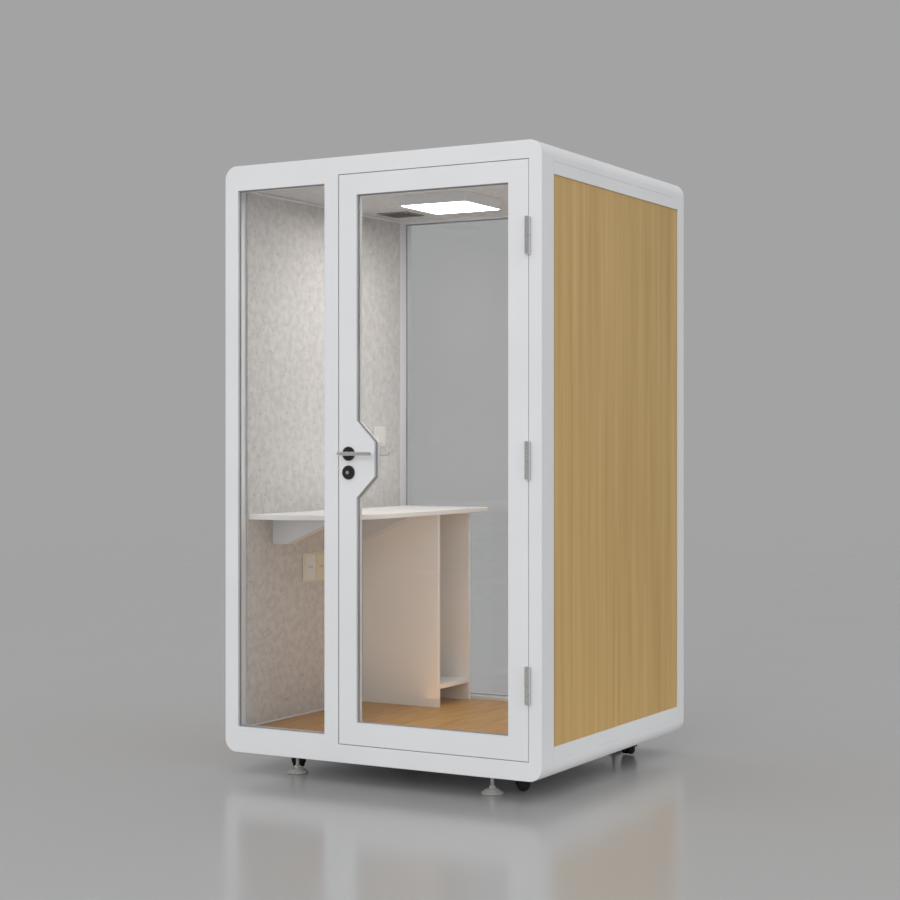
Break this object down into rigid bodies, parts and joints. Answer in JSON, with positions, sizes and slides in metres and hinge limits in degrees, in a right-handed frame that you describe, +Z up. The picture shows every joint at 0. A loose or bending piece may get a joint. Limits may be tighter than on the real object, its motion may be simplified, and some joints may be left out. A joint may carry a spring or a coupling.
{
  "type": "acoustic office pod",
  "caption": "Free-standing glazed acoustic booth for one person, with a hinged glass door, felt-lined oak-veneered walls, a side desk, ceiling light and fan, levelling feet and castors.",
  "frame": {"origin": "middle of the bounding box in plan, on the floor that the feet stand on", "axes": "+Z up, -Y the door side, -X the desk wall"},
  "size_m": [1.35, 1.346, 2.307],
  "materials": {
    "white_coat": "white powder coat",
    "white_laminate": "white melamine laminate",
    "oak_veneer": "light oak veneer, vertical grain",
    "grey_felt": "mottled light grey felt",
    "mineral_wool": "mineral wool board",
    "wood_floor": "warm wood floor",
    "black_rubber": "black rubber",
    "black_metal": "black satin",
    "black_plastic": "black moulded",
    "brushed_steel": "satin stainless steel",
    "zinc_steel": "zinc plated steel",
    "opal_panel": "opal acrylic, lit",
    "white_plastic": "white moulded",
    "clear_glass": "clear laminated glass"
  },
  "bodies": {
    "shell": {"base_chassis": "white_coat", "front_frame": "white_coat", "rear_frame": "white_coat", "roof_shell": "white_coat", "left_wall_frame": "white_coat", "right_wall_frame": "white_coat", "led_housing": "white_coat", "front_desk_bracket": "white_coat", "rear_desk_bracket": "white_coat", "desk_top": "white_laminate", "cabinet_carcass": "white_laminate", "left_veneer_panel": "oak_veneer", "right_veneer_panel": "oak_veneer", "left_felt_panel": "grey_felt", "right_felt_panel": "grey_felt", "ceiling_panel": "grey_felt", "left_wool_core": "mineral_wool", "right_wool_core": "mineral_wool", "roof_wool": "mineral_wool", "floor_panel": "wood_floor", "fixed_glass_gasket": "black_rubber", "rear_glass_gasket": "black_rubber", "door_seal": "black_rubber", "fan_duct": "black_plastic", "led_diffuser": "opal_panel", "switch_plate": "white_plastic", "socket_plate": "white_plastic", "fixed_glass": "clear_glass", "rear_glass": "clear_glass", "lower_hinge_frame_leaf": "brushed_steel", "middle_hinge_frame_leaf": "brushed_steel", "upper_hinge_frame_leaf": "brushed_steel"},
    "door": {"door_leaf": "white_coat", "door_glass": "clear_glass", "door_glass_gasket": "black_rubber", "outer_rose": "black_metal", "key_cylinder": "black_metal", "inner_lock_plate": "brushed_steel", "lower_hinge_door_leaf": "brushed_steel", "middle_hinge_door_leaf": "brushed_steel", "upper_hinge_door_leaf": "brushed_steel"},
    "lever": {"outer_lever": "brushed_steel", "inner_lever": "brushed_steel"},
    "latch": {"latch_bolt": "brushed_steel"},
    "turn": {"thumb_turn": "brushed_steel"},
    "bolt": {"dead_bolt": "brushed_steel"},
    "fan": {"fan_rotor": "black_plastic"},
    "rocker": {"switch_rocker": "white_plastic"},
    "front_left_foot": {"front_left_levelling_foot": "zinc_steel"},
    "front_right_foot": {"front_right_levelling_foot": "zinc_steel"},
    "rear_left_foot": {"rear_left_levelling_foot": "zinc_steel"},
    "rear_right_foot": {"rear_right_levelling_foot": "zinc_steel"},
    "front_left_fork": {"front_left_castor_fork": "black_plastic"},
    "front_left_wheel": {"front_left_castor_wheel": "black_rubber"},
    "front_right_fork": {"front_right_castor_fork": "black_plastic"},
    "front_right_wheel": {"front_right_castor_wheel": "black_rubber"},
    "rear_left_fork": {"rear_left_castor_fork": "black_plastic"},
    "rear_left_wheel": {"rear_left_castor_wheel": "black_rubber"},
    "rear_right_fork": {"rear_right_castor_fork": "black_plastic"},
    "rear_right_wheel": {"rear_right_castor_wheel": "black_rubber"}
  },
  "joints": [
    {"name": "door_swing", "type": "hinge", "parent": "shell", "child": "door", "pos_m": [0.6245, -0.628, 1.194], "axis": [0, 0, 1], "range_deg": [0, 170]},
    {"name": "lever_turn", "type": "hinge", "parent": "door", "child": "lever", "pos_m": [-0.115, -0.617, 1.215], "axis": [0, 1, 0], "range_deg": [0, 45], "stiffness_Nm_per_rad": 1.5, "springref_deg": -28.65},
    {"name": "latch_slide", "type": "slide", "parent": "door", "child": "latch", "axis": [1, 0, 0], "range_m": [0, 0.009]},
    {"name": "thumb_turn_turn", "type": "hinge", "parent": "door", "child": "turn", "pos_m": [-0.115, -0.575, 1.146], "axis": [0, 1, 0], "range_deg": [0, 90]},
    {"name": "dead_bolt_slide", "type": "slide", "parent": "door", "child": "bolt", "axis": [-1, 0, 0], "range_m": [0, 0.014]},
    {"name": "fan_spin", "type": "hinge", "parent": "shell", "child": "fan", "pos_m": [-0.48, 0.3577, 2.237], "axis": [0, 0, 1], "continuous": true},
    {"name": "switch_rock", "type": "hinge", "parent": "shell", "child": "rocker", "pos_m": [-0.5974, 0.386, 1.284], "axis": [0, 1, 0], "range_deg": [0, 8]},
    {"name": "front_left_foot_turn", "type": "hinge", "parent": "shell", "child": "front_left_foot", "pos_m": [-0.42, -0.502, 0], "axis": [0, 0, 1], "continuous": true},
    {"name": "front_right_foot_turn", "type": "hinge", "parent": "shell", "child": "front_right_foot", "pos_m": [0.42, -0.502, 0], "axis": [0, 0, 1], "continuous": true},
    {"name": "rear_left_foot_turn", "type": "hinge", "parent": "shell", "child": "rear_left_foot", "pos_m": [-0.42, 0.548, 0], "axis": [0, 0, 1], "continuous": true},
    {"name": "rear_right_foot_turn", "type": "hinge", "parent": "shell", "child": "rear_right_foot", "pos_m": [0.42, 0.548, 0], "axis": [0, 0, 1], "continuous": true},
    {"name": "front_left_castor_swivel", "type": "hinge", "parent": "shell", "child": "front_left_fork", "pos_m": [-0.476, -0.414, 0.079], "axis": [0, 0, 1], "continuous": true},
    {"name": "front_left_wheel_spin", "type": "hinge", "parent": "front_left_fork", "child": "front_left_wheel", "pos_m": [-0.486, -0.39668, 0.028], "axis": [-0.866, -0.5, 0], "continuous": true},
    {"name": "front_right_castor_swivel", "type": "hinge", "parent": "shell", "child": "front_right_fork", "pos_m": [0.476, -0.414, 0.079], "axis": [0, 0, 1], "continuous": true},
    {"name": "front_right_wheel_spin", "type": "hinge", "parent": "front_right_fork", "child": "front_right_wheel", "pos_m": [0.49332, -0.404, 0.028], "axis": [-0.5, 0.866, 0], "continuous": true},
    {"name": "rear_left_castor_swivel", "type": "hinge", "parent": "shell", "child": "rear_left_fork", "pos_m": [-0.508, 0.512, 0.079], "axis": [0, 0, 1], "continuous": true},
    {"name": "rear_left_wheel_spin", "type": "hinge", "parent": "rear_left_fork", "child": "rear_left_wheel", "pos_m": [-0.508, 0.492, 0.028], "axis": [1, 0, 0], "continuous": true},
    {"name": "rear_right_castor_swivel", "type": "hinge", "parent": "shell", "child": "rear_right_fork", "pos_m": [0.508, 0.512, 0.079], "axis": [0, 0, 1], "continuous": true},
    {"name": "rear_right_wheel_spin", "type": "hinge", "parent": "rear_right_fork", "child": "rear_right_wheel", "pos_m": [0.508, 0.492, 0.028], "axis": [1, 0, 0], "continuous": true}
  ],
  "couplings": [
    {"joint": "latch_slide", "follows": "lever_turn", "m_per_rad": 0.011332},
    {"joint": "dead_bolt_slide", "follows": "thumb_turn_turn", "m_per_rad": 0.008785}
  ]
}
